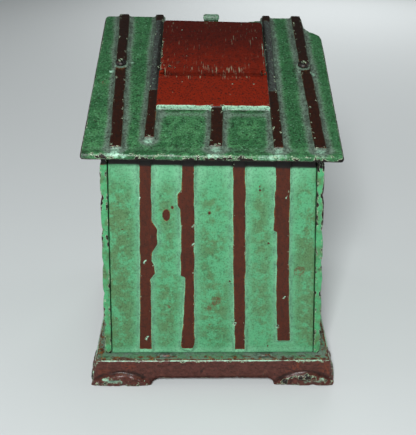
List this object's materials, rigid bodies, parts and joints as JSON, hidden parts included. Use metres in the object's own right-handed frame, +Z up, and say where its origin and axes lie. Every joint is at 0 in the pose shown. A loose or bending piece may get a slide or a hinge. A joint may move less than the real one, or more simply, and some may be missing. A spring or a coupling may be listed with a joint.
{
  "type": "cast iron still bank",
  "caption": "Painted cast iron coin bank shaped as a lean-to cabin, with a battened sloping roof, a hinged roof hatch over the coin slot, boarded walls and a bracket-foot base.",
  "frame": {"origin": "under the middle of the bank, on the surface it stands on (bottom centre of its box)", "axes": "+Z up; -Y is the low (back) side of the sloping roof, +Y the high side; +X to the right seen from the low side"},
  "size_m": [0.1078, 0.1003, 0.1409],
  "materials": {
    "green_paint": "worn green oil paint over cast iron",
    "brown_paint": "worn brown oil paint over cast iron",
    "red_paint": "worn brick red oil paint over cast iron",
    "pale_green_paint": "rubbed pale green paint over cast iron",
    "bare_iron": "dark bare iron wire",
    "screw_iron": "worn painted iron machine screw"
  },
  "bodies": {
    "bank": {"base": "brown_paint", "left_wall": "green_paint", "right_wall": "green_paint", "rear_wall": "green_paint", "front_wall": "green_paint", "roof": "green_paint", "hinge_pin": "bare_iron", "roof_screw_left": "screw_iron", "roof_screw_right": "screw_iron", "base_screw_rear_left": "screw_iron", "base_screw_rear_right": "screw_iron", "base_screw_front_left": "screw_iron", "base_screw_front_right": "screw_iron"},
    "hatch": {"roof_hatch": "red_paint", "hatch_knob": "pale_green_paint"}
  },
  "joints": [
    {"name": "hatch_hinge", "type": "hinge", "parent": "bank", "child": "hatch", "pos_m": [0.00025, 0.00119, 0.12553], "axis": [0.9998, 0, -0.0175], "range_deg": [0, 95]}
  ]
}
